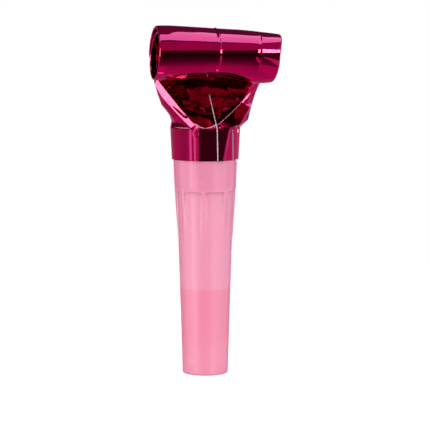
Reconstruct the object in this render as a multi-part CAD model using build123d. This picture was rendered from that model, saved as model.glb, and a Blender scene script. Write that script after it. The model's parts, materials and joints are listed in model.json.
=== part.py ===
from build123d import *
import math
import os

# Party horn blower: a foil tube, rolled up, on a plastic mouthpiece that holds a reed.
# Millimetres. +Z is up along the mouthpiece, -Y is the front, and the origin is the centre of the mouth end.
# The roll lies across the top, with its axis near X. It unrolls forwards and upwards until the tube is straight.

# Mouthpiece
BODY_LENGTH = 57.0
MOUTH_RADIUS = 5.25
LIP_ROUND = 0.35
STEP_HEIGHT = 42.3
STEP_RISE = 0.9
BODY_TOP_RADIUS = 6.6
BAND_RADIUS = 7.13
BAND_TOP_RADIUS = 7.75
WALL = 0.95
LIP_WALL = 0.7
MOUTH_BORE_DEPTH = 4.5
SEAT_SHOULDER = 0.3
SEAT_LENGTH = 14.5
RIB_COUNT = 8
RIB_WIDTH = 1.0
RIB_START = 30.0
RIB_HEIGHT = 0.33
RIB_ROOT = 0.3
RIB_TURN_DEG = -15.8

# Reed insert
INSERT_FIT = 0.03
HOLDER_WALL = 0.6
HOLDER_FLANGE = 0.8
FLANGE_GAP = 0.1
GRIP_LENGTH = 6.0
GRIP_WALL = 1.55
BED_TIP_INSET = 1.1
TROUGH_WIDTH = 2.2
TROUGH_DEPTH = 1.4
TROUGH_END_WALL = 1.0
REED_WIDTH = 3.4
REED_THICK = 0.2
REED_LENGTH = 7.6
REED_LIFT_DEG = 3.6
REED_ROOT_GAP = 0.06

# Foil tube
FILM = 0.12
GLUE = 0.06
GLUE_FIT = 0.01
GLUE_INSET = 1.0
COLLAR_LENGTH = 7.0
THROAT_MID_RISE = 10.0
THROAT_MID_WIDTH = 24.3
THROAT_MID_THICK = 2.4
THROAT_ROUND_EASE = 0.2
TUBE_WIDTH = 28.0
TUBE_THICK = 0.5

# Roll
ROLL_RADIUS = 6.3
ROLL_RISE = 16.05
ROLL_SHIFT = 0.9
ROLL_TILT_DEG = 2.1
ROLL_PITCH = 1.0
TURNS = 3
LENGTHS_PER_TURN = 8
LENGTH_GAP = 0.08
END_FOLD_DEG = 30.0

# Recoil strip
STRIP_WIDTH = 1.2
STRIP_THICK = 0.1
STRIP_ROOT_LENGTH = 6.0

# Heights and radii that follow
BAND_HEIGHT = STEP_HEIGHT + STEP_RISE
MOUTH_BORE_RADIUS = MOUTH_RADIUS - LIP_WALL
SEAT_RADIUS = MOUTH_BORE_RADIUS - SEAT_SHOULDER
LEDGE_HEIGHT = MOUTH_BORE_DEPTH + SEAT_LENGTH
INSERT_TOP = LEDGE_HEIGHT + HOLDER_FLANGE
GRIP_HEIGHT = INSERT_TOP - GRIP_LENGTH
HOLDER_RADIUS = SEAT_RADIUS - INSERT_FIT
GRIP_RADIUS = HOLDER_RADIUS - GRIP_WALL
BED_RADIUS = GRIP_RADIUS - INSERT_FIT
COLLAR_HEIGHT = BODY_LENGTH - COLLAR_LENGTH
LENGTH_DEG = 360.0 / LENGTHS_PER_TURN
LENGTH_COUNT = TURNS * LENGTHS_PER_TURN
FIRST_RADIUS = ROLL_RADIUS - TUBE_THICK / 2

# The roll's own frame: its origin is where the flat tube leaves the throat, and its X is the roll's axis.
ROLL_FRAME = Pos(ROLL_SHIFT, 0, BODY_LENGTH + ROLL_RISE) * Rot(0, ROLL_TILT_DEG, 0)


def body_radius(height):
    """Outer radius of the ribbed cone below the step."""
    return MOUTH_RADIUS + (BODY_TOP_RADIUS - MOUTH_RADIUS) * height / STEP_HEIGHT


def band_radius(height):
    """Outer radius of the band above the step, which the foil is glued to."""
    share = (height - BAND_HEIGHT) / (BODY_LENGTH - BAND_HEIGHT)
    return BAND_RADIUS + (BAND_TOP_RADIUS - BAND_RADIUS) * share


def turned(points):
    """A solid of revolution about Z from (radius, height) points."""
    return revolve(Plane.XZ * make_face(Polyline(*points, close=True)), Axis.Z)


def band_sleeve(low, high, inner, outer):
    """A thin sleeve round the band, from inner to outer millimetres off its surface."""
    return turned([
        (band_radius(low) + inner, low),
        (band_radius(low) + outer, low),
        (band_radius(high) + outer, high),
        (band_radius(high) + inner, high),
    ])


def rib():
    """One rib: it starts flush with the cone and stands proud where it runs into the step."""
    grow = RIB_HEIGHT / (STEP_HEIGHT - RIB_START)
    crest = body_radius(BAND_HEIGHT) + grow * (BAND_HEIGHT - RIB_START)
    side = make_face(Polyline(
        (body_radius(RIB_START) - RIB_ROOT, RIB_START),
        (body_radius(RIB_START), RIB_START),
        (crest, BAND_HEIGHT),
        (body_radius(BAND_HEIGHT) - RIB_ROOT, BAND_HEIGHT),
        close=True,
    ))
    return extrude(Plane.XZ * side, amount=RIB_WIDTH / 2, both=True)


def mouthpiece():
    """The moulding: ribbed cone, step and band outside; mouth bore, reed seat and chamber inside."""
    outside = turned([
        (0, 0),
        (MOUTH_RADIUS, 0),
        (BODY_TOP_RADIUS, STEP_HEIGHT),
        (BAND_RADIUS, BAND_HEIGHT),
        (BAND_TOP_RADIUS, BODY_LENGTH),
        (0, BODY_LENGTH),
    ])
    lip = outside.edges().filter_by(GeomType.CIRCLE).sort_by(Axis.Z)[0]
    outside = fillet(lip, min(LIP_ROUND, LIP_WALL / 2))
    for index in range(RIB_COUNT):
        angle = RIB_TURN_DEG - 90 + 360 * index / RIB_COUNT
        outside += Rot(0, 0, angle) * rib()
    inside = turned([
        (0, 0),
        (MOUTH_BORE_RADIUS, 0),
        (MOUTH_BORE_RADIUS, MOUTH_BORE_DEPTH),
        (SEAT_RADIUS, MOUTH_BORE_DEPTH),
        (SEAT_RADIUS, LEDGE_HEIGHT),
        (body_radius(LEDGE_HEIGHT) - WALL, LEDGE_HEIGHT),
        (BODY_TOP_RADIUS - WALL, STEP_HEIGHT),
        (BAND_RADIUS - WALL, BAND_HEIGHT),
        (BAND_TOP_RADIUS - WALL, BODY_LENGTH),
        (0, BODY_LENGTH),
    ])
    return outside - inside


def reed_holder():
    """Sleeve in the seat: a flange on the ledge, a narrow grip above and a wide room for the reed below."""
    flange_radius = body_radius(LEDGE_HEIGHT) - WALL - FLANGE_GAP
    return turned([
        (HOLDER_RADIUS - HOLDER_WALL, MOUTH_BORE_DEPTH),
        (HOLDER_RADIUS, MOUTH_BORE_DEPTH),
        (HOLDER_RADIUS, LEDGE_HEIGHT),
        (flange_radius, LEDGE_HEIGHT),
        (flange_radius, INSERT_TOP),
        (GRIP_RADIUS, INSERT_TOP),
        (GRIP_RADIUS, GRIP_HEIGHT),
        (HOLDER_RADIUS - HOLDER_WALL, GRIP_HEIGHT),
    ])


def half_round(flat, side, low, high):
    """The part of the grip's round core beyond a flat at Y = flat, on the + or - side of it."""
    reach = 2 * BED_RADIUS
    keep = Pos(0, flat + side * reach / 2) * Rectangle(2 * reach, reach)
    return extrude(Pos(0, 0, low) * (Circle(BED_RADIUS) & keep), amount=high - low)


def reed_bed():
    """Half-round bed with an air trough that is open to the reed and at the top, and closed at the tip."""
    low = MOUTH_BORE_DEPTH + BED_TIP_INSET
    trough_length = INSERT_TOP - low - TROUGH_END_WALL
    trough = Box(TROUGH_WIDTH, TROUGH_DEPTH, trough_length, align=(Align.CENTER, Align.MIN, Align.MAX))
    return half_round(0, 1, low, INSERT_TOP) - Pos(0, 0, INSERT_TOP) * trough


def reed_wedge():
    """Half-round wedge that clamps the reed's root on the bed."""
    return half_round(-REED_THICK - INSERT_FIT, -1, GRIP_HEIGHT, INSERT_TOP)


def reed_root():
    """The clamped end of the reed."""
    strip = Box(REED_WIDTH, REED_THICK, GRIP_LENGTH, align=(Align.CENTER, Align.MAX, Align.MIN))
    return Pos(0, 0, GRIP_HEIGHT) * strip


def reed_tip():
    """The free end of the reed, which stands off the bed so that air can get under it."""
    strip = Box(REED_WIDTH, REED_THICK, REED_LENGTH, align=(Align.CENTER, Align.MAX, Align.MAX))
    return Pos(0, 0, GRIP_HEIGHT - REED_ROOT_GAP) * Rot(-REED_LIFT_DEG, 0, 0) * strip


def flat_tube(width, thick):
    """Outline of a flattened tube: two flats joined by round folds."""
    return SlotOverall(width, thick)


def throat_sections(inset):
    """The throat's three outlines, from the round collar to the flat tube, drawn in by inset."""
    collar_diameter = 2 * (BAND_TOP_RADIUS + GLUE + 2 * GLUE_FIT + FILM)
    share = THROAT_MID_RISE / ROLL_RISE
    middle = Pos(ROLL_SHIFT * share, 0, BODY_LENGTH + THROAT_MID_RISE) * Rot(0, ROLL_TILT_DEG * share, 0)
    round_end = flat_tube(collar_diameter + THROAT_ROUND_EASE - 2 * inset, collar_diameter - 2 * inset)
    return [
        Pos(0, 0, BODY_LENGTH) * round_end,
        middle * flat_tube(THROAT_MID_WIDTH - 2 * inset, THROAT_MID_THICK - 2 * inset),
        ROLL_FRAME * Pos(0, 0, -LENGTH_GAP / 2) * flat_tube(TUBE_WIDTH - 2 * inset, TUBE_THICK - 2 * inset),
    ]


def foil_throat():
    """The tube's length that goes from round to flat."""
    return loft(throat_sections(0), ruled=True) - loft(throat_sections(FILM), ruled=True)


def roll_lengths():
    """Each length of the roll as (start angle, mid radius, centre y, centre z) in the roll's frame.

    The angle is 0 where the tube leaves the throat, at the back, and grows as the tube rolls forwards.
    Each length is an arc that starts in line with the one before it, a little tighter.
    """
    lengths = []
    y, z = 0.0, 0.0
    for index in range(LENGTH_COUNT):
        radius = FIRST_RADIUS - ROLL_PITCH * index / LENGTHS_PER_TURN
        start = math.radians(LENGTH_DEG * index)
        centre_y = y - radius * math.cos(start)
        centre_z = z - radius * math.sin(start)
        lengths.append((LENGTH_DEG * index, radius, centre_y, centre_z))
        end = start + math.radians(LENGTH_DEG)
        y = centre_y + radius * math.cos(end)
        z = centre_z + radius * math.sin(end)
    return lengths


def rolled(section, length, from_deg, to_deg, offset=0.0):
    """A section swept along one length, between two angles, offset outwards from the tube's middle."""
    start, radius, centre_y, centre_z = length
    trim = math.degrees(LENGTH_GAP / 2 / radius)
    angle = math.radians(start + from_deg + trim)
    outward = (0, math.cos(angle), math.sin(angle))
    ahead = (0, -outward[2], outward[1])
    reach = radius + offset
    place = Plane(
        origin=(0, centre_y + reach * outward[1], centre_z + reach * outward[2]),
        x_dir=(1, 0, 0),
        z_dir=ahead,
    )
    axis = Axis((0, centre_y, centre_z), (1, 0, 0))
    return ROLL_FRAME * revolve(place * section, axis, to_deg - from_deg - 2 * trim)


def foil_length(length):
    """One length of the flat tube, open at both ends."""
    wall = flat_tube(TUBE_WIDTH, TUBE_THICK) - flat_tube(TUBE_WIDTH - 2 * FILM, TUBE_THICK - 2 * FILM)
    return rolled(wall, length, 0, LENGTH_DEG)


def strip_length(length):
    """One length of the recoil strip, in the middle of the flat tube."""
    return rolled(Rectangle(STRIP_WIDTH, STRIP_THICK), length, 0, LENGTH_DEG)


def strip_root():
    """The recoil strip's first length, straight, in the flat end of the throat."""
    strip = Box(STRIP_WIDTH, STRIP_THICK, STRIP_ROOT_LENGTH, align=(Align.CENTER, Align.CENTER, Align.MAX))
    return ROLL_FRAME * Pos(0, 0, -LENGTH_GAP / 2) * strip


def end_fold(length):
    """The tube's inner end, folded over and stuck down flat."""
    return rolled(flat_tube(TUBE_WIDTH, TUBE_THICK), length, LENGTH_DEG, LENGTH_DEG + END_FOLD_DEG)


def least_layer_gap(samples_per_length=12):
    """Least gap between two layers of the roll, on points along the middle of the tube."""
    points = []
    for start, radius, centre_y, centre_z in roll_lengths():
        for step in range(samples_per_length):
            angle = math.radians(start + LENGTH_DEG * step / samples_per_length)
            points.append((centre_y + radius * math.cos(angle), centre_z + radius * math.sin(angle)))
    half_turn = samples_per_length * LENGTHS_PER_TURN // 2
    apart = min(
        math.dist(one, other)
        for index, one in enumerate(points)
        for other in points[index + half_turn:]
    )
    return apart - TUBE_THICK


def nodes():
    """Every piece by its name."""
    lengths = roll_lengths()
    made = {
        "mouthpiece": mouthpiece(),
        "reed_holder": reed_holder(),
        "reed_bed": reed_bed(),
        "reed_wedge": reed_wedge(),
        "reed_root": reed_root(),
        "reed_tip": reed_tip(),
        "glue_band": band_sleeve(COLLAR_HEIGHT + GLUE_INSET, BODY_LENGTH - GLUE_INSET, GLUE_FIT, GLUE_FIT + GLUE),
        "foil_collar": band_sleeve(COLLAR_HEIGHT, BODY_LENGTH, GLUE + 2 * GLUE_FIT, GLUE + 2 * GLUE_FIT + FILM),
        "foil_throat": foil_throat(),
        "recoil_strip_root": strip_root(),
        "foil_end_fold": end_fold(lengths[-1]),
    }
    for number, length in enumerate(lengths, start=1):
        made[f"foil_length_{number:02d}"] = foil_length(length)
        made[f"recoil_strip_{number:02d}"] = strip_length(length)
    return made


os.makedirs("parts", exist_ok=True)
for name, solid in nodes().items():
    export_step(solid, f"parts/{name}.step")
print(f"least gap between layers of the roll: {least_layer_gap():.3f} mm")
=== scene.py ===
import json
import math
import random

import bpy
import numpy as np
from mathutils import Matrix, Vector
from mathutils.bvhtree import BVHTree

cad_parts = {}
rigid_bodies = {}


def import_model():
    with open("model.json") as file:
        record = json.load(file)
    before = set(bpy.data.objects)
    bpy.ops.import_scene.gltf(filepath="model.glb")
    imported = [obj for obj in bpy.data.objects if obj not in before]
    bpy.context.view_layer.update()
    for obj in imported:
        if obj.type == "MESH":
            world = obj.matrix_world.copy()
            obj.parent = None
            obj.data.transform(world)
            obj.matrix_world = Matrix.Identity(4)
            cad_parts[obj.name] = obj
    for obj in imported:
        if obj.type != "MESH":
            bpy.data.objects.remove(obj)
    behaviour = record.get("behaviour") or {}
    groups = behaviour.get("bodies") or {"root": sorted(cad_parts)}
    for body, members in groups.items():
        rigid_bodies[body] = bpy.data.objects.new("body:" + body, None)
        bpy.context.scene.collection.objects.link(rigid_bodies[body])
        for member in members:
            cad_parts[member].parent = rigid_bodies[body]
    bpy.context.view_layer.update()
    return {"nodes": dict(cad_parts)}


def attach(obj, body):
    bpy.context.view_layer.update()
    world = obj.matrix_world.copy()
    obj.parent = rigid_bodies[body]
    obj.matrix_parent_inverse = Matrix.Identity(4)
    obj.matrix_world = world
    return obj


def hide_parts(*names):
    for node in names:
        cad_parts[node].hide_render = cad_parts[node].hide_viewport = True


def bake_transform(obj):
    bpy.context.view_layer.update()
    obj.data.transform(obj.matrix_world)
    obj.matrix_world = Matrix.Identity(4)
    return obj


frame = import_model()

# Party horn blower: the looks of the rolled foil tube, its crumpled neck and the ribbed pink mouthpiece.
# All sizes are millimetres and degrees. +Z is up, -Y is the front, the origin is the centre of the mouth end.
MM = 0.001
SEED = 11

# The camera stands this far round from the front; some places are written as seen from there.
CAMERA_AZIMUTH = -12.5

# Mouthpiece
BODY_LENGTH = 57.0
MOUTH_RADIUS = 5.25
LIP_ROUND = 0.35
STEP_HEIGHT = 42.3
BAND_HEIGHT = 43.2
BODY_TOP_RADIUS = 6.6
BAND_RADIUS = 7.13
BAND_TOP_RADIUS = 7.75
WALL = 0.95
MOUTH_BORE_RADIUS = 4.55
MOUTH_BORE_DEPTH = 4.5
SEAT_RADIUS = 4.25
LEDGE_HEIGHT = 19.0
INSERT_TOP = 19.8
RIB_COUNT = 8
RIB_WIDTH = 1.0
RIB_START = 30.0
RIB_HEIGHT = 0.42
RIB_TURN = -15.8
PANEL_CORNER = 0.5
PANEL_EDGE = 0.1
RIB_SOFTNESS = 0.34
COLUMNS_PER_RIB = 40
INNER_CORNER = 0.05
SHARP_ANGLE = 40.0

# Foil tube
FILM = 0.12
TUBE_WIDTH = 28.0
TUBE_THICK = 0.5
EDGE_THICK = 0.06
FOLD_ROUND = 0.32

# Roll
FIRST_RADIUS = 6.05
ROLL_RISE = 15.8
ROLL_SHIFT = 0.9
ROLL_TILT = 3.0
ROLL_PITCH = 1.0
LENGTHS_PER_TURN = 8
LENGTH_COUNT = 24
END_FOLD_DEG = 30.0
STRIP_WIDTH = 1.2
STRIP_THICK = 0.1

# How the soft roll departs from a true cylinder
ROLL_SCALE = 1.045
TAPER = 0.025
ARCH_RISE = 1.4
ARCH_FROM = -13.4
ARCH_TO = 8.9
ARCH_SKEW = 1.4
END_SLANT = 0.022
TOP_SLANT = 0.11
FRONT_RAISE = 0.4
FRONT_SLOPE = 0.057
INNER_RECESS = 2.2
RIDGE_PLACE = -0.3
RIDGE_HEIGHT = 0.15
RIDGE_WIDTH = 0.24
PINCH_PLACE = 9.0
PINCH_DEPTH = 0.26
PINCH_FLANK = ((0.6, 0.5), (0.4, 1.8))
PINCH_RIGHT = 0.15
PRESS_STEP = 0.12
PRESS_SLOPE = 0.21
TOP_PRESS = 0.35
TOP_PRESS_FROM = 5.0
TOP_PRESS_PLACE = 2.2
END_PULL = 0.24
END_SHARPNESS = 8
# Where along the tube, in lengths, each mark starts, is full, eases off and is gone
RIDGE_RUN = (0.8, 2.0, 4.7, 5.4)
CREASE_RUN = (2.7, 3.2, 3.9, 4.6)
STEP_RUN = (3.0, 3.8, 3.9, 4.7)
PRESS_RUN = (2.4, 3.7, 4.0, 5.4)
OUTER_TURN_END = (8.5, 11.0)

LENGTH_TURN = 2 * math.pi / LENGTHS_PER_TURN


def smooth(value, low, high):
    """0 below low, 1 above high and an S-curve between."""
    share = np.clip((np.asarray(value, float) - low) / (high - low), 0, 1)
    return share * share * (3 - 2 * share)


def bell(value, place, width):
    """A bell-shaped bump of height 1."""
    return np.exp(-((np.asarray(value, float) - place) / width) ** 2)


def run(value, start, full, ease, gone):
    """0 before start, 1 from full to ease and 0 after gone."""
    return smooth(value, start, full) * (1 - smooth(value, ease, gone))


def seen(right, near, up):
    """World point for a place as seen from the camera: right of the axis, nearer to the camera, up."""
    turn = math.radians(CAMERA_AZIMUTH)
    right, near, up = np.broadcast_arrays(*(np.asarray(v, float) for v in (right, near, up)))
    return np.stack([
        right * math.cos(turn) + near * math.sin(turn),
        right * math.sin(turn) - near * math.cos(turn),
        up,
    ], axis=-1)


# Mesh helpers
def add_piece(name, points, faces, material, normals=None):
    """A smooth-shaded mesh object from points in millimetres."""
    mesh = bpy.data.meshes.new(name)
    mesh.from_pydata((np.asarray(points, float).reshape(-1, 3) * MM).tolist(), [], faces)
    mesh.shade_smooth()
    if normals is not None:
        mesh.normals_split_custom_set_from_vertices(np.asarray(normals, float).reshape(-1, 3).tolist())
    mesh.materials.append(material)
    piece = bpy.data.objects.new(name, mesh)
    bpy.context.scene.collection.objects.link(piece)
    return piece


def grid_faces(rows, columns, closed=True, flip=False, first=0):
    """Quads between neighbouring rows of a grid; closed joins the last column to the first."""
    faces = []
    for row in range(rows - 1):
        for column in range(columns if closed else columns - 1):
            after = (column + 1) % columns
            quad = (
                first + row * columns + column,
                first + row * columns + after,
                first + (row + 1) * columns + after,
                first + (row + 1) * columns + column,
            )
            faces.append(quad[::-1] if flip else quad)
    return faces


def grid_normals(points, closed=True):
    """Unit normals of a grid of points, from its neighbours along both directions."""
    along = np.gradient(points, axis=0)
    if closed:
        around = np.roll(points, -1, axis=1) - np.roll(points, 1, axis=1)
    else:
        around = np.gradient(points, axis=1)
    normals = np.cross(around, along)
    return normals / np.maximum(np.linalg.norm(normals, axis=2, keepdims=True), 1e-9)


# Materials
def new_material(name):
    """A node material with its Principled shader and an Object coordinate output."""
    material = bpy.data.materials.new(name)
    material.use_nodes = True
    nodes = material.node_tree.nodes
    shader = nodes["Principled BSDF"]
    place = nodes.new("ShaderNodeTexCoord").outputs["Object"]
    return material, shader, place


def add_noise(material, place, scale, detail=3.0, stretch=(1, 1, 1)):
    """A noise texture; scale is its count of lumps per metre."""
    nodes, links = material.node_tree.nodes, material.node_tree.links
    mapping = nodes.new("ShaderNodeMapping")
    mapping.inputs["Scale"].default_value = stretch
    links.new(place, mapping.inputs["Vector"])
    noise = nodes.new("ShaderNodeTexNoise")
    noise.inputs["Scale"].default_value = scale
    noise.inputs["Detail"].default_value = detail
    links.new(mapping.outputs["Vector"], noise.inputs["Vector"])
    return noise.outputs["Fac"]


def add_ramp(material, factor, low, high, dark, light):
    """A colour ramp from dark at low to light at high."""
    nodes, links = material.node_tree.nodes, material.node_tree.links
    ramp = nodes.new("ShaderNodeValToRGB")
    ramp.color_ramp.elements[0].position = low
    ramp.color_ramp.elements[0].color = dark
    ramp.color_ramp.elements[1].position = high
    ramp.color_ramp.elements[1].color = light
    links.new(factor, ramp.inputs["Fac"])
    return ramp.outputs["Color"]


def ramp_to(material, factor, socket, low, high, dark, light):
    """Feeds a colour ramp into a shader socket."""
    material.node_tree.links.new(add_ramp(material, factor, low, high, dark, light), socket)


def add_bump(material, shader, height, distance, strength=1.0):
    """Bump of a given depth in millimetres."""
    nodes, links = material.node_tree.nodes, material.node_tree.links
    bump = nodes.new("ShaderNodeBump")
    bump.inputs["Strength"].default_value = strength
    bump.inputs["Distance"].default_value = distance * MM
    links.new(height, bump.inputs["Height"])
    links.new(bump.outputs["Normal"], shader.inputs["Normal"])


def height_share(material, place, low, high, at_low, at_high):
    """A value that goes from at_low at height low to at_high at height high, both in millimetres."""
    nodes, links = material.node_tree.nodes, material.node_tree.links
    split = nodes.new("ShaderNodeSeparateXYZ")
    links.new(place, split.inputs["Vector"])
    span = nodes.new("ShaderNodeMapRange")
    span.inputs["From Min"].default_value = low * MM
    span.inputs["From Max"].default_value = high * MM
    span.inputs["To Min"].default_value = at_low
    span.inputs["To Max"].default_value = at_high
    links.new(split.outputs["Z"], span.inputs["Value"])
    return span.outputs["Result"]


def multiply(material, one, two):
    """The product of two values."""
    nodes, links = material.node_tree.nodes, material.node_tree.links
    product = nodes.new("ShaderNodeMath")
    product.operation = "MULTIPLY"
    links.new(one, product.inputs[0])
    links.new(two, product.inputs[1])
    return product.outputs["Value"]


def add_mix(material, share, one, two):
    """A colour that goes from one to two with the share."""
    nodes, links = material.node_tree.nodes, material.node_tree.links
    mix = nodes.new("ShaderNodeMix")
    mix.data_type = "RGBA"
    links.new(share, mix.inputs["Factor"])
    links.new(one, mix.inputs["A"])
    links.new(two, mix.inputs["B"])
    return mix.outputs["Result"]


def grey(value):
    """A neutral colour, for a plain value."""
    return (value, value, value, 1)


def foil_material(name, bump_depth):
    """Magenta metallised film: a mirror-like colour under a clear layer, with faint ripples."""
    material, shader, place = new_material(name)
    shader.inputs["Metallic"].default_value = 1.0
    shader.inputs["Coat Weight"].default_value = 0.4
    shader.inputs["Coat Roughness"].default_value = 0.03
    tint = add_noise(material, place, 180)
    colour = shader.inputs["Base Color"]
    ramp_to(material, tint, colour, 0.3, 0.7, (0.34, 0.0, 0.066, 1), (0.375, 0.0, 0.076, 1))
    haze = add_noise(material, place, 900)
    ramp_to(material, haze, shader.inputs["Roughness"], 0.35, 0.75, grey(0.04), grey(0.075))
    ripple = add_noise(material, place, 260, detail=2.0, stretch=(0.5, 1, 1))
    add_bump(material, shader, ripple, bump_depth)
    return material


def pink_plastic():
    """Translucent moulded plastic, with painted shade where the insert or the glued film lies behind it and
    painted light towards the mouth.
    """
    material, shader, place = new_material("pink_plastic")
    links = material.node_tree.links
    shader.inputs["IOR"].default_value = 1.46
    shader.inputs["Subsurface Weight"].default_value = 0.2
    shader.inputs["Subsurface Radius"].default_value = (1.0, 0.4, 0.5)
    shader.inputs["Subsurface Scale"].default_value = 0.5 * MM
    flow = add_noise(material, place, 160, detail=2.0, stretch=(1, 1, 0.15))
    plain = add_ramp(material, flow, 0.3, 0.7, (0.868, 0.318, 0.462, 1), (0.876, 0.334, 0.478, 1))
    # Painted shade: a deeper pink where the reed insert lies behind the wall, up to the insert's top.
    insert_shade = add_ramp(material, flow, 0.3, 0.7, (0.868, 0.262, 0.393, 1), (0.876, 0.276, 0.407, 1))
    below_top = height_share(material, place, INSERT_TOP - 0.2, INSERT_TOP + 0.2, 1, 0)
    # Painted light: towards the mouth the insert's painted shade gives way, as if lit from the mouth end.
    mouth_light_fade = height_share(material, place, 0, 9, 0.1, 1)
    lower = add_mix(material, multiply(material, below_top, mouth_light_fade), plain, insert_shade)
    # Painted shade: a deeper pink on the band, where the glued film lies behind the wall.
    film_shade = add_ramp(material, flow, 0.3, 0.7, (0.84, 0.272, 0.426, 1), (0.85, 0.282, 0.438, 1))
    on_band = height_share(material, place, STEP_HEIGHT + 0.2, BAND_HEIGHT, 0, 1)
    links.new(add_mix(material, on_band, lower, film_shade), shader.inputs["Base Color"])
    sheen = add_noise(material, place, 300, detail=2.0, stretch=(1, 1, 0.3))
    ramp_to(material, sheen, shader.inputs["Roughness"], 0.3, 0.7, grey(0.11), grey(0.125))
    add_bump(material, shader, sheen, 0.001)
    return material


def insert_plastic():
    """Opaque pink plastic of the reed insert."""
    material, shader, place = new_material("insert_plastic")
    flow = add_noise(material, place, 400)
    ramp_to(material, flow, shader.inputs["Base Color"], 0.3, 0.7, (0.86, 0.2, 0.33, 1), (0.9, 0.24, 0.37, 1))
    shader.inputs["Roughness"].default_value = 0.4
    grain = add_noise(material, place, 2500)
    add_bump(material, shader, grain, 0.006)
    return material


def reed_film():
    """Milky film of the reed."""
    material, shader, place = new_material("reed_film")
    cloud = add_noise(material, place, 700, stretch=(1, 1, 0.3))
    ramp_to(material, cloud, shader.inputs["Base Color"], 0.3, 0.7, (0.82, 0.78, 0.7, 1), (0.9, 0.88, 0.82, 1))
    shader.inputs["Roughness"].default_value = 0.35
    add_bump(material, shader, cloud, 0.005)
    return material


def dried_glue():
    """Clear glue, dried milky."""
    material, shader, place = new_material("dried_glue")
    cloud = add_noise(material, place, 1500)
    ramp_to(material, cloud, shader.inputs["Base Color"], 0.3, 0.7, (0.8, 0.7, 0.72, 1), (0.92, 0.86, 0.87, 1))
    shader.inputs["Roughness"].default_value = 0.3
    add_bump(material, shader, cloud, 0.02)
    return material


def spring_steel():
    """Bright sprung strip, brushed along its length."""
    material, shader, place = new_material("spring_steel")
    shader.inputs["Metallic"].default_value = 1.0
    brush = add_noise(material, place, 3000, stretch=(1, 0.05, 0.05))
    ramp_to(material, brush, shader.inputs["Base Color"], 0.3, 0.7, (0.5, 0.5, 0.52, 1), (0.64, 0.64, 0.66, 1))
    ramp_to(material, brush, shader.inputs["Roughness"], 0.3, 0.7, grey(0.25), grey(0.38))
    return material


def film_edge(name, worn_colour, bright_colour):
    """The cut edge of the film, where no metal shows; in bright pink it is instead a painted highlight on the
    foil.
    """
    material, shader, place = new_material(name)
    worn = add_noise(material, place, 1500)
    ramp_to(material, worn, shader.inputs["Base Color"], 0.35, 0.65, worn_colour, bright_colour)
    shader.inputs["Roughness"].default_value = 0.35
    add_bump(material, shader, worn, 0.01)
    return material


foil = foil_material("magenta_foil", 0.008)
crumpled_foil = foil_material("crumpled_foil", 0.02)
plastic = pink_plastic()
insert = insert_plastic()
reed = reed_film()
glue = dried_glue()
steel = spring_steel()
edge = film_edge("film_edge", (0.5, 0.34, 0.39, 1), (0.74, 0.6, 0.64, 1))
# Bright pink ribbons: the curled lip and a crease are real folds of the film, their bright pink is painted
# highlight.
lip_highlight = film_edge("film_lip", (0.7, 0.16, 0.34, 1), (0.95, 0.42, 0.6, 1))

for node, material in (
    ("reed_holder", insert),
    ("reed_bed", insert),
    ("reed_wedge", insert),
    ("reed_root", reed),
    ("reed_tip", reed),
    ("glue_band", glue),
    ("recoil_strip_root", steel),
):
    mesh = frame["nodes"][node].data
    mesh.materials.clear()
    mesh.materials.append(material)


# Mouthpiece
def cone_radius(height):
    """Outer radius of the plain cone."""
    return MOUTH_RADIUS + (BODY_TOP_RADIUS - MOUTH_RADIUS) * height / STEP_HEIGHT


def band_radius(height):
    """Outer radius of the band above the step."""
    return BAND_RADIUS + (BAND_TOP_RADIUS - BAND_RADIUS) * (height - BAND_HEIGHT) / (BODY_LENGTH - BAND_HEIGHT)


def panel_share(turn, height):
    """1 on the sunk panels between the ribs, 0 on the ribs and above the panels' rounded tops."""
    step = 2 * math.pi / RIB_COUNT
    from_middle = np.abs((turn - math.radians(RIB_TURN) + step) % step - step / 2) * cone_radius(height)
    half = step / 2 * cone_radius(height) - RIB_WIDTH / 2
    over_side = from_middle - half + PANEL_CORNER
    over_top = height - STEP_HEIGHT + PANEL_CORNER
    rounded = np.hypot(np.maximum(over_side, 0), np.maximum(over_top, 0)) - PANEL_CORNER
    inside = np.minimum(np.maximum(over_side, over_top), 0) + rounded
    near_top = smooth(height, STEP_HEIGHT - 2.0, STEP_HEIGHT - PANEL_CORNER)
    soft = RIB_SOFTNESS + (PANEL_EDGE - RIB_SOFTNESS) * near_top
    return 1 - smooth(inside / soft, -1, 1)


def outer_radius(turn, height):
    """Outer radius of the moulding: a cone with ribs that grow into the step, then the band."""
    cone = cone_radius(height)
    rib = RIB_HEIGHT * (height - RIB_START) / (STEP_HEIGHT - RIB_START)
    raised = np.maximum(rib, 0)
    share = smooth(height, STEP_HEIGHT - 0.1, BAND_HEIGHT + 0.15)
    raised = raised * (1 - share) + (band_radius(height) - cone) * share
    return cone + raised * (1 - panel_share(turn, height))


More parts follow.
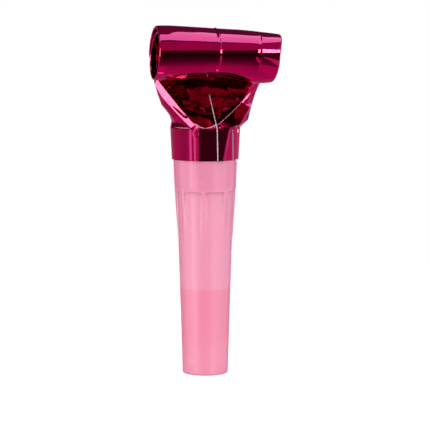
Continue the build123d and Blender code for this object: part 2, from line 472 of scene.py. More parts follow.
def make_mouthpiece():
    """One closed shell: ribbed outside, rounded lip, mouth bore, reed seat and chamber."""
    columns = RIB_COUNT * COLUMNS_PER_RIB
    turns = np.arange(columns) / columns * 2 * math.pi + math.radians(RIB_TURN)
    heights = np.concatenate([
        np.linspace(LIP_ROUND, RIB_START - 1, 14),
        np.linspace(RIB_START, STEP_HEIGHT - PANEL_CORNER - 0.4, 18),
        np.linspace(STEP_HEIGHT - PANEL_CORNER - 0.2, BAND_HEIGHT + 0.4, 30),
        np.linspace(BAND_HEIGHT + 1, BODY_LENGTH, 8),
    ])
    rows = []
    inner = [
        (BAND_TOP_RADIUS - WALL, BODY_LENGTH),
        (BAND_RADIUS - WALL, BAND_HEIGHT),
        (BODY_TOP_RADIUS - WALL, STEP_HEIGHT),
        (cone_radius(LEDGE_HEIGHT) - WALL, LEDGE_HEIGHT + INNER_CORNER),
        (cone_radius(LEDGE_HEIGHT) - WALL - INNER_CORNER, LEDGE_HEIGHT),
        (SEAT_RADIUS + INNER_CORNER, LEDGE_HEIGHT),
        (SEAT_RADIUS, LEDGE_HEIGHT - INNER_CORNER),
        (SEAT_RADIUS, MOUTH_BORE_DEPTH + INNER_CORNER),
        (SEAT_RADIUS + INNER_CORNER, MOUTH_BORE_DEPTH),
        (MOUTH_BORE_RADIUS - INNER_CORNER, MOUTH_BORE_DEPTH),
        (MOUTH_BORE_RADIUS, MOUTH_BORE_DEPTH - INNER_CORNER),
        (MOUTH_BORE_RADIUS, LIP_ROUND),
    ]
    for quarter in np.linspace(0, math.pi / 2, 6)[:-1]:
        reach = MOUTH_RADIUS - LIP_ROUND * (1 - math.sin(quarter))
        rows.append((np.full(columns, reach), LIP_ROUND * (1 - math.cos(quarter))))
    for height in heights:
        rows.append((outer_radius(turns, np.full(columns, height)), height))
    for radius, height in inner:
        rows.append((np.full(columns, radius), height))
    for quarter in np.linspace(0, math.pi / 2, 5)[1:]:
        reach = MOUTH_BORE_RADIUS + LIP_ROUND * (1 - math.cos(quarter))
        rows.append((np.full(columns, reach), LIP_ROUND * (1 - math.sin(quarter))))
    points = np.array([
        np.stack([radius * np.sin(turns), -radius * np.cos(turns), np.full(columns, height)], axis=1)
        for radius, height in rows
    ])
    faces = grid_faces(len(rows), columns)
    last = (len(rows) - 1) * columns
    faces += [(last + c, last + (c + 1) % columns, (c + 1) % columns, c) for c in range(columns)]
    piece = add_piece("mouthpiece_shell", points, faces, plastic)
    piece.data.set_sharp_from_angle(angle=math.radians(SHARP_ANGLE))
    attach(piece, "mouthpiece_body")
    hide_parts("mouthpiece")


make_mouthpiece()


# Roll
def roll_arcs():
    """Each length of the roll as (radius, centre y, centre z) in the roll's own frame, ever tighter."""
    arcs = []
    y, z = 0.0, 0.0
    for index in range(LENGTH_COUNT + 1):
        radius = FIRST_RADIUS - ROLL_PITCH * min(index, LENGTH_COUNT - 1) / LENGTHS_PER_TURN
        start = LENGTH_TURN * index
        centre_y = y - radius * math.cos(start)
        centre_z = z - radius * math.sin(start)
        arcs.append((radius, centre_y, centre_z))
        y = centre_y + radius * math.cos(start + LENGTH_TURN)
        z = centre_z + radius * math.sin(start + LENGTH_TURN)
    return np.array(arcs)


ARCS = roll_arcs()


def tube_line(place):
    """(y, z, angle) of a point of the tube's middle, place lengths into the roll; straight before it."""
    place = np.asarray(place, float)
    index = np.clip(np.floor(place).astype(int), 0, LENGTH_COUNT)
    angle = LENGTH_TURN * np.maximum(place, 0)
    radius, centre_y, centre_z = np.moveaxis(ARCS[index], -1, 0)
    below = np.minimum(place, 0) * LENGTH_TURN * FIRST_RADIUS
    return centre_y + radius * np.cos(angle), centre_z + radius * np.sin(angle) + below, angle


def half_thick(x):
    """Half the flat tube's thickness, which thins out to its side folds."""
    past = np.clip((np.abs(np.asarray(x)) - TUBE_WIDTH / 2 + FOLD_ROUND) / FOLD_ROUND, 0, 1)
    return EDGE_THICK / 2 + (TUBE_THICK - EDGE_THICK) / 2 * np.sqrt(1 - past ** 2)


def outer_marks(place, x):
    """How far the skin stands off a true roll: the ridge, the pressed right end and soft waves."""
    outer_turn = 1 - smooth(place, *OUTER_TURN_END)
    ridge = RIDGE_HEIGHT * bell(x, RIDGE_PLACE, RIDGE_WIDTH) * run(place, *RIDGE_RUN)
    waves = 0.006 * np.sin(0.9 * x + 2.1 * place) + 0.01 * np.sin(0.37 * x - 1.3 * place + 1)
    marks = (ridge + waves * smooth(place, 0, 1.5)) * outer_turn
    spot = place % LENGTHS_PER_TURN
    before = np.minimum(x - PINCH_PLACE, 0)
    past = np.maximum(x - PINCH_PLACE, 0)
    crease = PINCH_DEPTH * run(spot, *CREASE_RUN)
    step = PRESS_STEP * run(spot, *STEP_RUN)
    flank = sum(share * np.exp(before / reach) for share, reach in PINCH_FLANK)
    beyond = step + (crease - step) * np.exp(-past / PINCH_RIGHT)
    press = np.where(x < PINCH_PLACE, crease * flank, beyond) + PRESS_SLOPE * past * run(spot, *PRESS_RUN)
    top_press = TOP_PRESS * smooth(x, TOP_PRESS_FROM, TUBE_WIDTH / 2) * bell(place, TOP_PRESS_PLACE, 1.0)
    return marks - press - top_press - END_PULL * np.abs(2 * x / TUBE_WIDTH) ** END_SHARPNESS


def roll_point(place, x, off):
    """A point of the foil tube in world millimetres: place lengths along, x across, off outwards."""
    place, x, off = np.broadcast_arrays(*(np.asarray(v, float) for v in (place, x, off)))
    y, z, angle = tube_line(place)
    reach = off + outer_marks(place, x)
    y = y + reach * np.cos(angle)
    z = z + reach * np.sin(angle)
    rolled = place > 0
    level = np.maximum(1 - (z / FIRST_RADIUS) ** 2, 0) * smooth(place, 0, 2)
    slant = TOP_SLANT * np.maximum(z, 0) - END_SLANT * np.minimum(z, 0) ** 2
    slant = np.where(rolled, slant, 0) * smooth(x, 2, TUBE_WIDTH / 2)
    recess = INNER_RECESS * smooth(place, 7, 16) * (0.5 - x / TUBE_WIDTH)
    arch = ARCH_RISE * np.sin(np.pi * np.clip((x - ARCH_FROM) / (ARCH_TO - ARCH_FROM), 0, 1) ** ARCH_SKEW)
    arch = np.where(rolled, arch, 0) * (np.minimum(z, 0) / FIRST_RADIUS) ** 2
    scale = ROLL_SCALE - TAPER * x / (TUBE_WIDTH / 2)
    z = z * scale + arch + (FRONT_RAISE + FRONT_SLOPE * x) * level
    y = y * scale
    x = x + slant + recess
    tilt = math.radians(ROLL_TILT)
    return np.stack([
        ROLL_SHIFT + x * math.cos(tilt) + z * math.sin(tilt),
        y,
        BODY_LENGTH + ROLL_RISE - x * math.sin(tilt) + z * math.cos(tilt),
    ], axis=-1)


def tube_section():
    """(x, off) round the flattened tube: the outer film from left to right, then the inner film back."""
    half = TUBE_WIDTH / 2
    even = np.linspace(-half, half, 57)
    fine = np.concatenate([place + np.linspace(-1.1, 1.1, 23) for place in (RIDGE_PLACE, PINCH_PLACE)])
    ends = half - FOLD_ROUND * np.array([0.02, 0.08, 0.18, 0.32, 0.5, 0.75, 1.0])
    across = np.unique(np.round(np.concatenate([even, fine, ends, -ends]), 3))
    outer = np.stack([across, half_thick(across)], axis=1)
    inner = np.stack([across[::-1], -half_thick(across[::-1])], axis=1)
    return np.concatenate([outer, inner])


SECTION = tube_section()


def make_skin(number, start, end, rows=15):
    """The tube's skin between two places along it, with normals that run on into the next piece."""
    step = (end - start) / (rows - 1)
    places = start + step * np.arange(-1, rows + 1)
    points = roll_point(places[:, None], SECTION[None, :, 0], SECTION[None, :, 1])
    normals = -grid_normals(points)
    faces = grid_faces(rows, len(SECTION), flip=True)
    if number == LENGTH_COUNT:
        faces.append(tuple(range((rows - 1) * len(SECTION), rows * len(SECTION))))
    piece = add_piece(f"foil_skin_{number:02d}", points[1:-1], faces, foil, normals[1:-1])
    return piece


def make_strip(number, start, end, rows=9):
    """The recoil strip inside the tube between two places along it."""
    half = STRIP_WIDTH / 2
    thick = STRIP_THICK / 2
    corners = np.array([(-half, thick), (half, thick), (half, -thick), (-half, -thick)])
    places = np.linspace(start, end, rows)
    points = roll_point(places[:, None], corners[None, :, 0], corners[None, :, 1])
    piece = add_piece(f"recoil_strip_skin_{number:02d}", points, grid_faces(rows, 4, flip=True), steel)
    piece.data.set_sharp_from_angle(angle=math.radians(SHARP_ANGLE))
    return piece


def body_name(number):
    """The body that holds a length; the tube starts on the mouthpiece."""
    return f"roll_{number:02d}" if number else "mouthpiece_body"


def make_roll():
    """Each piece of the tube runs from the middle of one length to the middle of the next and curves between;
    only the last piece is attached to a body.
    """
    for number in range(LENGTH_COUNT + 1):
        start = max(number - 0.5, 0)
        end = number + 0.5 if number < LENGTH_COUNT else LENGTH_COUNT + END_FOLD_DEG * LENGTHS_PER_TURN / 360
        for maker, node in ((make_skin, "foil_length"), (make_strip, "recoil_strip")):
            last = LENGTH_COUNT if maker is make_strip and number == LENGTH_COUNT else end
            piece = maker(number, start, last)
            if number < LENGTH_COUNT:
                ends = (roll_point(place, 0, 0) * MM for place in (start, end))
                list(ends)
                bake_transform(piece)
            else:
                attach(piece, body_name(number))
            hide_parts(f"{node}_{max(number, 1):02d}")
            if number == LENGTH_COUNT and maker is make_skin:
                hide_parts("foil_end_fold")


make_roll()

# Collar, glued round the mouthpiece
COLLAR_HEIGHT = 49.5
COLLAR_TOP = 56.7
NECK_DROP = 0.5
COLLAR_RADIUS = 7.65
COLLAR_TOP_RADIUS = 8.0
FLAT_FROM = 13.5
FLAT_TO = 30.0
FLAT_TO_TOP = 38.0
FLAT_RETURN = 9.0
PLEAT_FROM = -23.0
PLEAT_TO = -15.0
PLEAT_RISE = 0.16
PLEAT_KINK = 4.0
PLEAT_EDGE = 0.8

# Neck: lines up the film, each with its name, its angle on the collar as seen from the camera, its place across
# the flat tube, the film that it ends on (front -1, back 1, fold 0), the columns to the next line, its roundness
# and five points (right, nearer, up) as seen from the camera. The points of neighbouring lines are the corners
# of facets.
NECK_LINES = (
    ("left_fold", -88, -14.0, 0, 16, 1.0, (
        (-7.7, 0.9, 58.7), (-8.15, 1.4, 60.2), (-9.9, 1.9, 62.4), (-10.8, 2.3, 64.9), (-11.4, 2.7, 67.1))),
    ("left_cheek", -58, -13.85, -1, 18, 0.3, (
        (-6.1, 3.5, 58.0), (-6.9, 4.3, 58.9), (-8.3, 4.1, 61.6), (-10.2, 3.5, 64.5), (-11.4, 3.05, 67.1))),
    ("left_strip", -23.6, -13.6, -1, 8, 0.0, (
        (-3.3, 7.1, 57.4), (-3.2, 7.47, 57.6), (-6.55, 5.82, 60.9), (-9.54, 4.32, 64.1), (-11.45, 3.26, 67.1))),
    ("left_crease", -17.5, -13.2, -1, 36, 0.0, (
        (-2.5, 7.5, 57.6), (-2.41, 7.68, 58.2), (-5.63, 6.1, 61.8), (-8.76, 4.46, 65.6), (-10.92, 3.28, 68.3))),
    ("front_left", -9, -7.0, -1, 36, 0.0, (
        (-1.25, 8.15, 57.4), (-1.25, 7.8, 57.8), (-2.6, 4.9, 61.2), (-4.0, 3.0, 64.9), (-5.0, 1.5, 68.1))),
    ("front", 1, 0.0, -1, 36, 0.0, (
        (0.14, 8.25, 57.15), (0.14, 7.75, 57.5), (0.3, 4.9, 60.5), (0.5, 2.6, 64.2), (0.9, 0.9, 68.0))),
    ("front_right", 11, 7.0, -1, 36, 0.0, (
        (1.55, 8.1, 57.6), (1.6, 7.6, 57.95), (3.4, 4.9, 60.6), (4.6, 2.5, 63.9), (6.0, 0.6, 67.6))),
    ("right_crease", 20.6, 13.0, -1, 40, 0.0, (
        (2.81, 7.6, 57.75), (2.87, 7.45, 58.4), (8.16, 2.2, 63.0), (8.3, 2.15, 63.15), (10.46, 0.5, 66.5))),
    ("right_facet", 38, 13.5, -1, 30, 0.0, (
        (4.95, 6.5, 57.35), (5.0, 7.5, 57.6), (9.5, 1.6, 62.8), (9.85, 1.05, 63.9), (11.3, -0.8, 67.3))),
    ("right_cheek", 60, 13.8, -1, 14, 0.0, (
        (7.0, 4.3, 57.3), (7.7, 6.3, 58.1), (10.7, 0.9, 62.65), (11.35, -0.1, 64.65), (12.4, -2.4, 67.9))),
    ("right_fold", 90, 14.0, 0, 16, 1.0, (
        (8.15, 0.3, 57.4), (9.72, 2.9, 59.1), (10.76, -1.6, 62.6), (11.47, -2.4, 64.75), (13.2, -3.4, 68.5))),
    ("back_right", 135, 7.0, 1, 16, 1.0, (
        (5.8, -5.6, 57.7), (6.4, -5.0, 58.8), (7.4, -3.6, 62.2), (7.8, -2.9, 65.0), (7.9, -2.5, 68.5))),
    ("back", 180, 0.0, 1, 16, 1.0, (
        (0.0, -7.9, 57.7), (0.0, -7.3, 58.6), (0.2, -4.6, 62.0), (0.5, -2.6, 65.0), (0.7, -1.3, 68.5))),
    ("back_left", 225, -7.0, 1, 16, 1.0, (
        (-5.7, -5.5, 57.8), (-6.0, -5.0, 58.8), (-6.8, -2.6, 62.0), (-7.0, -1.0, 65.0), (-6.8, 0.1, 68.5))),
)
COLLAR_ROWS = 26
FACET_ROWS = (3, 4, 20, 22, 22, 12)

# Crumples of the sunk front facet: folds that fan out from its foot, and short ones across
FAN_FOOT = (0.2, 56.0)
FAN_COUNT = 30
CROSS_COUNT = 40
CRUMPLE_SHARES = {
    "left_crease": 1, "front_left": 1, "front": 1, "front_right": 1, "right_crease": 0.3,
    "back_right": 0.7, "back": 0.7, "back_left": 0.7,
}
CRUMPLE_ELSEWHERE = 0.2
CRUMPLE_FROM = (COLLAR_TOP + 0.3, COLLAR_TOP + 1.8)
CRUMPLE_TO = (69.5, 72.5)
CREASE_ANGLE = 14.0


def collar_reach(turn, height):
    """Radius of the collar at an angle as seen from the camera: round, with a flat on its right and a pleat."""
    share = (height - COLLAR_HEIGHT) / (COLLAR_TOP - COLLAR_HEIGHT)
    reach = COLLAR_RADIUS + (COLLAR_TOP_RADIUS - COLLAR_RADIUS) * share
    flat_to = FLAT_TO + (FLAT_TO_TOP - FLAT_TO) * share
    proud = 1 / np.cos(np.radians(np.clip(turn, FLAT_FROM, flat_to) - FLAT_FROM)) - 1
    proud = proud * (1 - smooth(turn, flat_to, flat_to + FLAT_RETURN)) * reach
    fold = PLEAT_TO + PLEAT_KINK * bell(height, COLLAR_TOP - 1.1, 0.5)
    pleat = np.clip((turn - PLEAT_FROM) / (fold - PLEAT_FROM), 0, 1)
    pleat = pleat * np.clip((fold + PLEAT_EDGE - turn) / PLEAT_EDGE, 0, 1)
    return reach + proud + PLEAT_RISE * pleat


def collar_point(turn, height):
    """A point on the collar at an angle as seen from the camera."""
    reach = collar_reach(turn, height)
    angle = np.radians(turn)
    return seen(reach * np.sin(angle), reach * np.cos(angle), height)


def line_points(line):
    """The corners of a neck line, from the collar's top to the flat tube."""
    turn, across, film, corners = line[1], line[2], line[3], line[6]
    top = roll_point(0, across, film * half_thick(across))
    points = [seen(right, near, up - NECK_DROP) for right, near, up in corners]
    return np.array([collar_point(turn, COLLAR_TOP), *points, top])


def neck_columns():
    """(line, next line, share between them, angle on the collar) of each column round the neck."""
    columns = []
    for index, line in enumerate(NECK_LINES):
        after = NECK_LINES[(index + 1) % len(NECK_LINES)]
        turn_after = after[1] if after[1] > line[1] else after[1] + 360
        for step in range(line[4]):
            share = step / line[4]
            columns.append((line, after, share, line[1] + (turn_after - line[1]) * share))
    return columns


def soft_run(corners):
    """Points on a smooth curve through the corners of a neck line, as many as the straight runs have."""
    knots = np.concatenate([[0], np.cumsum(np.linalg.norm(np.diff(corners, axis=0), axis=1))])
    slopes = np.gradient(corners, knots, axis=0)
    points = []
    for low, rows in enumerate(FACET_ROWS):
        t = np.arange(rows)[:, None] / rows
        reach = knots[low + 1] - knots[low]
        curve = corners[low] * (1 + 2 * t) * (1 - t) ** 2 + corners[low + 1] * t ** 2 * (3 - 2 * t)
        points.append(curve + reach * t * (1 - t) * (slopes[low] * (1 - t) - slopes[low + 1] * t))
    return np.concatenate([*points, corners[-1:]])


def facet_column(line, after, share, turn):
    """Points up one column of the neck: straight between the corners in front, a smooth curve at the back."""
    corners = line_points(line) * (1 - share) + line_points(after) * share
    bulge = collar_point(turn, COLLAR_TOP) - corners[0]
    fades = np.linspace(1, 0, len(corners)) ** 1.5 * line[5]
    fades[0] = 1
    corners = corners + bulge * fades[:, None]
    points = []
    for low, high, rows in zip(corners[:-1], corners[1:], FACET_ROWS):
        points += [low + (high - low) * row / rows for row in range(rows)]
    straight = np.array(points + [corners[-1]])
    softness = (line[3] == 1) * (1 - share) + (after[3] == 1) * share
    return list(straight * (1 - softness) + soft_run(corners) * softness)


def neck_grid():
    """Rows of points up the collar and the facets, columns round the tube."""
    columns = []
    for line, after, share, turn in neck_columns():
        heights = COLLAR_HEIGHT + (COLLAR_TOP - COLLAR_HEIGHT) * np.arange(COLLAR_ROWS) / COLLAR_ROWS
        collar = [collar_point(turn, height) for height in heights]
        columns.append(collar + facet_column(line, after, share, turn))
    return np.array(columns).transpose(1, 0, 2)


def fold_lines():
    """Random straight creases: (middle right, middle up, direction, half width, half length, depth)."""
    draw = random.Random(SEED)
    lines = []
    for _ in range(FAN_COUNT):
        lean = math.radians(draw.uniform(-50, 50))
        far = draw.uniform(6.5, 13)
        half = draw.uniform(0.4, 1.3)
        lines.append((
            FAN_FOOT[0] + far * math.sin(lean),
            FAN_FOOT[1] + far * math.cos(lean),
            math.pi / 2 - lean,
            half,
            draw.uniform(2.0, 5.0),
            half * draw.uniform(-0.09, 0.09),
        ))
    for _ in range(CROSS_COUNT):
        half = draw.uniform(0.25, 0.8)
        lines.append((
            draw.uniform(-11, 11),
            draw.uniform(60.5, 69),
            draw.uniform(-0.9, 0.9),
            half,
            draw.uniform(0.8, 2.6),
            half * draw.uniform(-0.07, 0.07),
        ))
    return lines


def crumple(right, up):
    """How far the film stands off its flat facets, from crossing creases."""
    total = np.zeros(right.shape)
    for x, z, turn, half, length, depth in fold_lines():
        along = (right - x) * math.cos(turn) + (up - z) * math.sin(turn)
        aside = -(right - x) * math.sin(turn) + (up - z) * math.cos(turn)
        total += depth * bell(aside, 0, half / 1.6) * np.clip(2 - 2 * np.abs(along) / length, 0, 1)
    return total


def crumple_share():
    """How crumpled each column of the neck is: most on the sunk front facet, little elsewhere."""
    shares = []
    for line, after, share, _ in neck_columns():
        here, there = (CRUMPLE_SHARES.get(side[0], CRUMPLE_ELSEWHERE) for side in (line, after))
        shares.append(here * (1 - share) + there * share)
    return np.array(shares)


def make_neck():
    """The collar and the neck, one film with its inner side."""
    grid = neck_grid()
    normals = grid_normals(grid)
    turn = math.radians(CAMERA_AZIMUTH)
    right = grid[..., 0] * math.cos(turn) + grid[..., 1] * math.sin(turn)
    up = grid[..., 2]
    ease = run(up, *CRUMPLE_FROM, *CRUMPLE_TO)
    grid = grid + normals * (crumple(right, up) * ease * crumple_share()[None, :])[..., None]
    rows, columns = grid.shape[:2]
    inside = grid - grid_normals(grid) * FILM / 2
    count = rows * columns
    faces = grid_faces(rows, columns) + grid_faces(rows, columns, flip=True, first=count)
    for column in range(columns):
        after = (column + 1) % columns
        top = count - columns
        faces.append((after, column, count + column, count + after))
        faces.append((top + column, top + after, count + top + after, count + top + column))
    piece = add_piece("foil_neck", np.concatenate([grid, inside]), faces, crumpled_foil)
    piece.data.set_sharp_from_angle(angle=math.radians(CREASE_ANGLE))
    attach(piece, "mouthpiece_body")
    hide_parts("foil_collar", "foil_throat")
    return BVHTree.FromPolygons([tuple(p) for p in grid.reshape(-1, 3)], grid_faces(rows, columns))


neck_tree = make_neck()

# Cut edges of the film, ribbons of painted highlight along the lip and a crease, and flecks of glue on the neck;
# routes are (right, up) as seen from the camera
SEAMS = (
    ("film_fold", lip_highlight, 0.14, ((2.95, 57.75), (5.5, 59.95), (8.0, 62.2))),
    ("film_lip", lip_highlight, 0.6, ((-2.3, 57.9), (-1.4, 57.3), (-0.3, 56.95), (0.9, 57.05), (1.8, 57.4), (2.6, 57.8))),
    ("film_seam", edge, 0.26, ((0.95, 64.2), (1.5, 61.9), (2.2, 58.9), (2.7, 56.8), (2.8, 53.0), (2.85, 49.6))),
    ("film_crease", edge, 0.12, ((6.2, 56.4), (6.28, 53.0), (6.3, 49.6))),
)
GLUE_FLECKS = (
    ("glue_fleck_upper", 7.45, 56.1, 0.34),
    ("glue_fleck_lower", 7.05, 49.3, 0.3),
)
FLECK_STRETCH = 1.4
FLECK_HEIGHT = 0.16
FLECK_SINK = 0.04


def on_neck(right, up):
    """Point and normal of the neck's surface at a place as seen from the camera."""
    start = Vector(seen(right, 30.0, up))
    toward = Vector(seen(0.0, -1.0, 0.0))
    place, normal, _, _ = neck_tree.ray_cast(start, toward)
    if normal.dot(toward) > 0:
        normal = -normal
    return np.array(place), np.array(normal)


def make_seam(name, material, width, route):
    """A thin ribbon laid on the film."""
    route = np.array(route)
    share = np.linspace(0, len(route) - 1, 12 * (len(route) - 1) + 1)
    rights, ups = (np.interp(share, np.arange(len(route)), route[:, axis]) for axis in (0, 1))
    rows = []
    for right, up in zip(rights, ups):
        lift = 0.05 + 0.12 * width
        profile = ((-0.5, -0.03), (-0.35, lift), (0.35, lift), (0.5, -0.03))
        spots = [on_neck(right + side * width, up) for side, _ in profile]
        rows.append([place + normal * off for (place, normal), (_, off) in zip(spots, profile)])
    points = np.array(rows)
    piece = add_piece(name, points, grid_faces(len(rows), 4), material)
    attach(piece, "mouthpiece_body")


def make_fleck(name, right, up, radius):
    """A flat, uneven drop of dried glue."""
    draw = random.Random(SEED)
    centre, normal = on_neck(right, max(up, COLLAR_HEIGHT + 0.05))
    centre = centre + np.array([0, 0, up - max(up, COLLAR_HEIGHT + 0.05)])
    side = np.cross(normal, (0, 0, 1))
    side = side / np.linalg.norm(side)
    rise = np.cross(side, normal)
    columns, rows = 18, 5
    uneven = [draw.uniform(0.7, 1.2) for _ in range(columns)]
    points = []
    for row in range(rows):
        reach = radius * (1 - row / rows)
        height = FLECK_HEIGHT * (1 - (reach / radius) ** 2) - FLECK_SINK
        for column in range(columns):
            angle = 2 * math.pi * column / columns
            out = reach * uneven[column]
            spread = math.cos(angle) * side + FLECK_STRETCH * math.sin(angle) * rise
            points.append(centre + out * spread + height * normal)
    faces = grid_faces(rows, columns)
    faces.append(tuple(range((rows - 1) * columns, rows * columns)))
    piece = add_piece(name, points, faces, glue)
    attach(piece, "mouthpiece_body")


for seam in SEAMS:
    make_seam(*seam)
for fleck in GLUE_FLECKS:
    make_fleck(*fleck)

# Camera, at the photograph's viewing angle
IMAGE_SIZE = 430
FOCAL_PIXELS = 1953.0
CAMERA_DISTANCE = 446.0
CAMERA_HEIGHT = 87.0
AIM_HEIGHT = 36.5
AIM_RIGHT = 2.25


def place_camera():
    """The camera, aimed at the middle of the object."""
    data = bpy.data.cameras.new("camera")
    data.sensor_width = 36.0
    data.lens = data.sensor_width * FOCAL_PIXELS / IMAGE_SIZE
    data.clip_start = 0.01
    camera = bpy.data.objects.new("camera", data)
    bpy.context.scene.collection.objects.link(camera)
    camera.location = Vector(seen(0.0, CAMERA_DISTANCE, CAMERA_HEIGHT)) * MM
    aim = Vector(seen(AIM_RIGHT, 0.0, AIM_HEIGHT)) * MM
    camera.rotation_euler = (aim - camera.location).to_track_quat("-Z", "Y").to_euler()
    bpy.context.scene.camera = camera


place_camera()

# Floor, light and what the foil mirrors
STUDIO_RADIUS = 550.0
CARD_STEP = 2.0
STUDIO_CENTRE = (0.0, -5.0, 68.0)
OVERHEAD = (0.5, 0.98, 0.82)
STROBE = (0.4, 1.0, 0.38)
STRIP = (0.5, 1.0, 0.66)
DIM = (1.0, 0.03, 0.38)
PETAL = (1.0, 0.25, 0.82)
ROSE = (1.0, 0.06, 0.66)
DUSK = (1.0, 0.05, 0.55)
HAZE = (1.0, 0.2, 0.5)
# Each card: name, its turn to the side from and to, its colour, pairs of pitch and radiance, and how far its
# last pitch leans on per degree of side. Pitch goes from the front horizon over the top; radiance goes evenly
# from one pair to the next. A later card stands in front of the earlier ones.
CARDS = (
    ("front_flag", -40, 33, DIM, ((-9, 0.05), (19, 0.05)), 0),
    ("front_high", -40, 50, ROSE, ((19, 0.72), (55, 0.8)), 0),
    ("front_floor", -34, 24, ROSE,
     ((-120, 1.0), (-95, 0.9), (-70, 0.85), (-56, 0.68), (-46, 0.48), (-36, 0.29), (-27, 0.16), (-9, 0.07)), 0),
    ("left_front_floor", -34, 7, ROSE, ((-110, 1.2), (-50, 1.0)), 0),
    ("floor_glint", -28, 6, HAZE, ((-90, 7.0), (-83, 7.0)), 0),
    ("left_gap", -66, -40, DIM, ((-8, 0.1), (-1, 0.1)), 0),
    ("left_strobe", -66, -40, STROBE, ((-1, 20.0), (40, 20.0)), 0),
    ("left_floor_far", -72, -65, ROSE, ((-40, 1.0), (-8, 1.0)), 0),
    ("left_strip", -65, -59, STRIP, ((-40, 3.2), (-8, 3.2)), 0),
    ("left_floor", -59, -34, ROSE, ((-40, 1.1), (-8, 1.3)), 0),
    ("right_gap", 33, 66, DIM, ((-9, 0.1), (6, 0.1)), 0),
    ("right_strobe", 34, 66, STROBE, ((6, 26.0), (24, 26.0)), 0),
    ("right_near_floor", 24, 34, ROSE, ((-40, 1.2), (-9, 1.2)), 0),
    ("right_dark_floor", 34, 41, ROSE, ((-40, 0.4), (-9, 0.07)), 0),
    ("right_floor", 41, 48, PETAL, ((-40, 1.1), (-9, 1.15)), 0),
    ("left_high_flag", -80, -46, DIM, ((41, 0.1), (115, 0.1)), 0),
    ("thin_flag", -46, 60, DIM, ((55, 0.05), (60, 0.05)), 0),
    ("rear_flag", -70, 70, DUSK, ((85, 0.42), (115, 0.28), (172, 0.1)), 0),
    ("overhead_box", -46, 46, OVERHEAD, ((60, 4.4), (86, 4.4)), 0),
    ("overhead_edge", 9.5, 15.0, OVERHEAD, ((85, 4.4), (86, 4.4)), 4.5),
    ("overhead_wing", 15.0, 46, OVERHEAD, ((85, 4.4), (111, 4.4)), 0),
    ("left_wall", -90, -72, PETAL, ((-180, 0.66), (180, 0.66)), 0),
    ("right_wall", 66, 90, PETAL, ((-180, 1.0), (180, 1.0)), 0),
    ("rear_floor", -72, 66, HAZE, ((-188, 0.65), (-120, 0.65)), 0),
    ("left_rear", -72, -50, ROSE, ((-188, 1.05), (-120, 1.05)), 0),
    ("right_rear", 44, 66, HAZE, ((-188, 0.95), (-120, 0.95)), 0),
    ("right_low", 24, 66, ROSE, ((-120, 1.0), (-40, 1.0)), 0),
    ("left_low", -72, -34, ROSE, ((-120, 1.0), (-40, 1.0)), 0),
)


def collect(name, prefixes):
    """The pieces whose names start in one of the given ways, as a collection that lights can be linked to."""
    group = bpy.data.collections.new(name)
    for piece in bpy.data.objects:
        if piece.name.startswith(prefixes):
            group.objects.link(piece)
    return group


foil_pieces = collect("foil_pieces", ("foil", "film", "recoil", "glue"))
plastic_pieces = collect("plastic_pieces", ("mouthpiece", "reed"))


def glow_material(name, colour):
    """Emission whose strength is stored on the mesh as glow."""
    material = bpy.data.materials.new(name)
    material.use_nodes = True
    nodes, links = material.node_tree.nodes, material.node_tree.links
    nodes.clear()
    stored = nodes.new("ShaderNodeAttribute")
    stored.attribute_name = "glow"
    glow = nodes.new("ShaderNodeEmission")
    glow.inputs["Color"].default_value = (*colour, 1)
    links.new(stored.outputs["Fac"], glow.inputs["Strength"])
    links.new(glow.outputs["Emission"], nodes.new("ShaderNodeOutputMaterial").inputs["Surface"])
    return material


def make_card(order, name, side_from, side_to, colour, levels, lean):
    """A curved card round the object that only the foil mirrors."""
    pitches, radiances = np.array(levels, float).T
    steps = np.unique(np.concatenate([np.linspace(pitches[0], pitches[-1], 19), pitches]))
    sides = np.linspace(side_from, side_to, 13)
    pitch, side = np.meshgrid(steps, sides, indexing="ij")
    pitch = pitch + lean * (side - side_from) * (pitch - steps[0]) / (steps[-1] - steps[0])
    pitch, side = np.radians(pitch), np.radians(side)
    toward = np.stack([np.sin(side), -np.cos(side) * np.cos(pitch), np.cos(side) * np.sin(pitch)], axis=-1)
    points = np.array(STUDIO_CENTRE) + (STUDIO_RADIUS - CARD_STEP * order) * toward
    faces = grid_faces(len(steps), len(sides), closed=False)
    card = add_piece(name, points, faces, glow_material(name, colour))
    glow = np.repeat(np.interp(steps, pitches, radiances), len(sides))
    card.data.attributes.new("glow", "FLOAT", "POINT").data.foreach_set("value", glow)
    card.visible_camera = False
    card.visible_diffuse = False
    card.visible_transmission = False
    card.visible_shadow = False
    card.light_linking.receiver_collection = foil_pieces


for order, card in enumerate(CARDS):
    make_card(order, *card)

FLOOR_RADIUS = 400.0
FLOOR_CORNERS = 96
FLOOR_DROP = 0.05
FLOOR_SOLID = 60.0
FLOOR_GONE = 220.0
FLOOR_LIFT = 0.3
WORLD_FILL = 0.48
GLINT_DISTANCE = 440.0
WHITE = (1.0, 1.0, 1.0)
LAMP_AIM = (0, 0, 40)
# Each lamp: name, place, diameter and power in watts
LAMPS = (
    ("overhead_lamp", (-60, -250, 620), 420, 2.1),
    ("left_lamp", (-520, -300, 260), 300, 1.15),
    ("right_lamp", (520, -200, 240), 300, 0.97),
    ("rear_lamp", (150, 560, 300), 320, 1.2),
)
# Each sheen on the plastic: name, side, pitch, width, height, radiance and colour
GLINTS = (
    ("left_sheen", -88, -12, 760, 420, 1.1, WHITE),
    ("left_glint", -57, -12, 230, 420, 1.5, WHITE),
    ("right_glint", 31, -12, 250, 420, 1.5, WHITE),
    ("right_sheen", 84, -12, 680, 420, 0.6, WHITE),
    ("rear_sheen", 12.5, 180, 1700, 600, 1.5, (1, 0.7, 0.78)),
    ("front_sheen", -16, -12, 500, 420, 0.25, WHITE),
    ("floor_sheen", 0, -90, 700, 700, 0.6, WHITE),
)


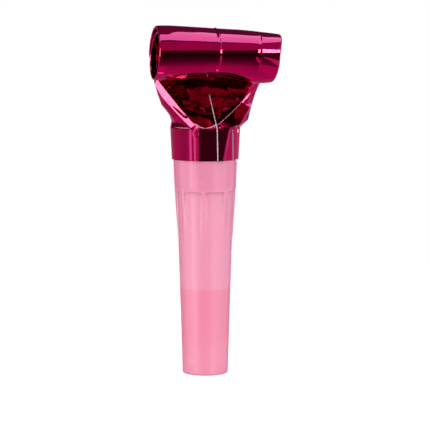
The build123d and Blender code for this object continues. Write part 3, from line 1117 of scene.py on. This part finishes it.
def make_floor():
    """A pale disc that takes the shadow and fades into the white background."""
    turns = np.linspace(0, 2 * math.pi, FLOOR_CORNERS, endpoint=False)
    depth = np.full(FLOOR_CORNERS, -FLOOR_DROP)
    points = np.stack([FLOOR_RADIUS * np.cos(turns), FLOOR_RADIUS * np.sin(turns), depth], axis=1)
    material, shader, place = new_material("floor")
    nodes, links = material.node_tree.nodes, material.node_tree.links
    shader.inputs["Base Color"].default_value = (0.86, 0.86, 0.86, 1)
    shader.inputs["Roughness"].default_value = 0.8
    shader.inputs["Specular IOR Level"].default_value = 0.1
    shader.inputs["Emission Color"].default_value = (1, 1, 1, 1)
    lift = nodes.new("ShaderNodeMath")
    lift.operation = "MULTIPLY"
    lift.inputs[1].default_value = FLOOR_LIFT
    links.new(nodes.new("ShaderNodeLightPath").outputs["Is Camera Ray"], lift.inputs[0])
    links.new(lift.outputs["Value"], shader.inputs["Emission Strength"])
    away = nodes.new("ShaderNodeVectorMath")
    away.operation = "LENGTH"
    links.new(place, away.inputs[0])
    fade = nodes.new("ShaderNodeMapRange")
    fade.interpolation_type = "SMOOTHSTEP"
    fade.inputs["From Min"].default_value = FLOOR_SOLID * MM
    fade.inputs["From Max"].default_value = FLOOR_GONE * MM
    links.new(away.outputs["Value"], fade.inputs["Value"])
    mix = nodes.new("ShaderNodeMixShader")
    links.new(fade.outputs["Result"], mix.inputs["Fac"])
    links.new(shader.outputs["BSDF"], mix.inputs[1])
    links.new(nodes.new("ShaderNodeBsdfTransparent").outputs["BSDF"], mix.inputs[2])
    links.new(mix.outputs["Shader"], nodes["Material Output"].inputs["Surface"])
    floor = add_piece("floor", points, [tuple(range(FLOOR_CORNERS))], material)
    floor.visible_glossy = False
    floor.visible_shadow = False


def make_world():
    """White where it is seen or mirrored, a softer level where it lights."""
    world = bpy.data.worlds.new("studio")
    bpy.context.scene.world = world
    world.use_nodes = True
    nodes, links = world.node_tree.nodes, world.node_tree.links
    nodes.clear()
    path = nodes.new("ShaderNodeLightPath")
    camera_or_glossy = nodes.new("ShaderNodeMath")
    camera_or_glossy.operation = "ADD"
    links.new(path.outputs["Is Camera Ray"], camera_or_glossy.inputs[0])
    links.new(path.outputs["Is Glossy Ray"], camera_or_glossy.inputs[1])
    white_seen = nodes.new("ShaderNodeMath")
    white_seen.operation = "ADD"
    white_seen.use_clamp = True
    links.new(camera_or_glossy.outputs["Value"], white_seen.inputs[0])
    links.new(path.outputs["Is Transmission Ray"], white_seen.inputs[1])
    lit, white = nodes.new("ShaderNodeBackground"), nodes.new("ShaderNodeBackground")
    lit.inputs["Strength"].default_value = WORLD_FILL
    white.inputs["Strength"].default_value = 1.0
    for background in (lit, white):
        background.inputs["Color"].default_value = (1, 1, 1, 1)
    mix = nodes.new("ShaderNodeMixShader")
    links.new(white_seen.outputs["Value"], mix.inputs["Fac"])
    links.new(lit.outputs["Background"], mix.inputs[1])
    links.new(white.outputs["Background"], mix.inputs[2])
    links.new(mix.outputs["Shader"], nodes.new("ShaderNodeOutputWorld").inputs["Surface"])


def add_lamp(name, place, size, watts):
    """A round soft lamp that lights the object and isn't mirrored."""
    data = bpy.data.lights.new(name, "AREA")
    data.shape = "DISK"
    data.size = size * MM
    data.energy = watts
    lamp = bpy.data.objects.new(name, data)
    bpy.context.scene.collection.objects.link(lamp)
    lamp.location = Vector(place) * MM
    lamp.rotation_euler = (Vector(LAMP_AIM) * MM - lamp.location).to_track_quat("-Z", "Y").to_euler()
    lamp.visible_glossy = False


def add_glint(name, side, pitch, width, height, radiance, colour):
    """A soft strip light that shows only as a sheen on the mouthpiece, not in the foil."""
    side, pitch = math.radians(side), math.radians(pitch)
    toward = Vector((math.sin(side), -math.cos(side) * math.cos(pitch), math.cos(side) * math.sin(pitch)))
    data = bpy.data.lights.new(name, "AREA")
    data.shape = "RECTANGLE"
    data.size = width * MM
    data.size_y = height * MM
    data.energy = radiance * math.pi * width * height * MM ** 2
    data.color = colour
    lamp = bpy.data.objects.new(name, data)
    bpy.context.scene.collection.objects.link(lamp)
    lamp.location = (Vector(STUDIO_CENTRE) + GLINT_DISTANCE * toward) * MM
    lamp.rotation_euler = (-toward).to_track_quat("-Z", "Y").to_euler()
    lamp.visible_camera = False
    lamp.visible_diffuse = False
    lamp.visible_transmission = False
    lamp.light_linking.receiver_collection = plastic_pieces


make_floor()
make_world()
for lamp in LAMPS:
    add_lamp(*lamp)
for glint in GLINTS:
    add_glint(*glint)

bpy.context.scene.view_settings.view_transform = "Standard"
